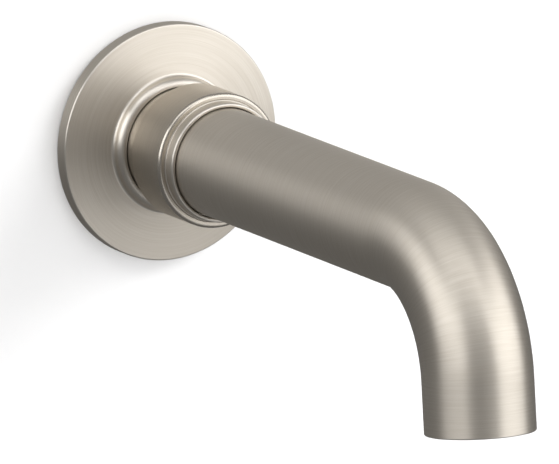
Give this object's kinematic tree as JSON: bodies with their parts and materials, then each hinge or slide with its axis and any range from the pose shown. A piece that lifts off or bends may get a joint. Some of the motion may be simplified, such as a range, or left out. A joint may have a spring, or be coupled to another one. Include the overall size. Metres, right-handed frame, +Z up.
{
  "type": "wall mounted bath spout",
  "caption": "Wall mounted bath spout: a round tube that turns down at its end, held in a cylindrical hub over a round wall flange.",
  "frame": {"origin": "centre of the threaded supply inlet, in the plane of the finished wall", "axes": "+Y into the wall along the inlet, -Y out into the room along the tube, +Z up, +X to the right of someone facing the wall"},
  "size_m": [0.0698, 0.2023, 0.086],
  "materials": {
    "brushed_nickel": "brushed nickel plating, satin, warm grey",
    "brass": "machined, unplated",
    "o_ring_rubber": "smooth black rubber",
    "gasket_foam": "closed-cell foam, matte",
    "white_nylon": "natural nylon, matte",
    "stainless_steel": "fine turned stainless steel",
    "insert_plastic": "moulded acetal, light grey, satin"
  },
  "bodies": {
    "wall_adapter": {"adapter": "brass", "adapter_o_ring_rear": "o_ring_rubber", "adapter_o_ring_front": "o_ring_rubber"},
    "spout": {"hub_sleeve": "brushed_nickel", "tube_seal": "o_ring_rubber", "tube_ferrule": "brass", "index_pin": "stainless_steel", "thrust_washer": "white_nylon", "spout_nut": "brushed_nickel", "spout_tube": "brushed_nickel", "outlet_sleeve": "brass"},
    "flange": {"wall_flange": "brushed_nickel", "wall_gasket": "gasket_foam", "flange_o_ring": "o_ring_rubber"},
    "set_screw": {"set_screw": "stainless_steel"},
    "outlet_insert": {"flow_straightener": "insert_plastic", "outlet_washer": "o_ring_rubber", "inlet_screen": "stainless_steel", "spacer_ring": "insert_plastic", "outlet_screen": "stainless_steel"},
    "outlet_shell": {"straightener_shell": "insert_plastic"}
  },
  "joints": [
    {"name": "spout_turn", "type": "hinge", "parent": "wall_adapter", "child": "spout", "pos_m": [0, 0, 0], "axis": [0, -1, 0], "continuous": true},
    {"name": "flange_slide", "type": "slide", "parent": "spout", "child": "flange", "axis": [0, -1, 0], "range_m": [0, 0.007]},
    {"name": "set_screw_out", "type": "slide", "parent": "spout", "child": "set_screw", "axis": [0, 0, -1], "range_m": [0, 0.0008]},
    {"name": "insert_out", "type": "slide", "parent": "spout", "child": "outlet_insert", "axis": [0, -0.1045, -0.9945], "range_m": [0, 0.005]},
    {"name": "shell_turn", "type": "hinge", "parent": "outlet_insert", "child": "outlet_shell", "pos_m": [0, -0.18636, -0.04939], "axis": [0, -0.1045, -0.9945], "range_deg": [0, 1801]}
  ],
  "couplings": [
    {"joint": "shell_turn", "follows": "insert_out", "rad_per_m": 6283.2}
  ]
}
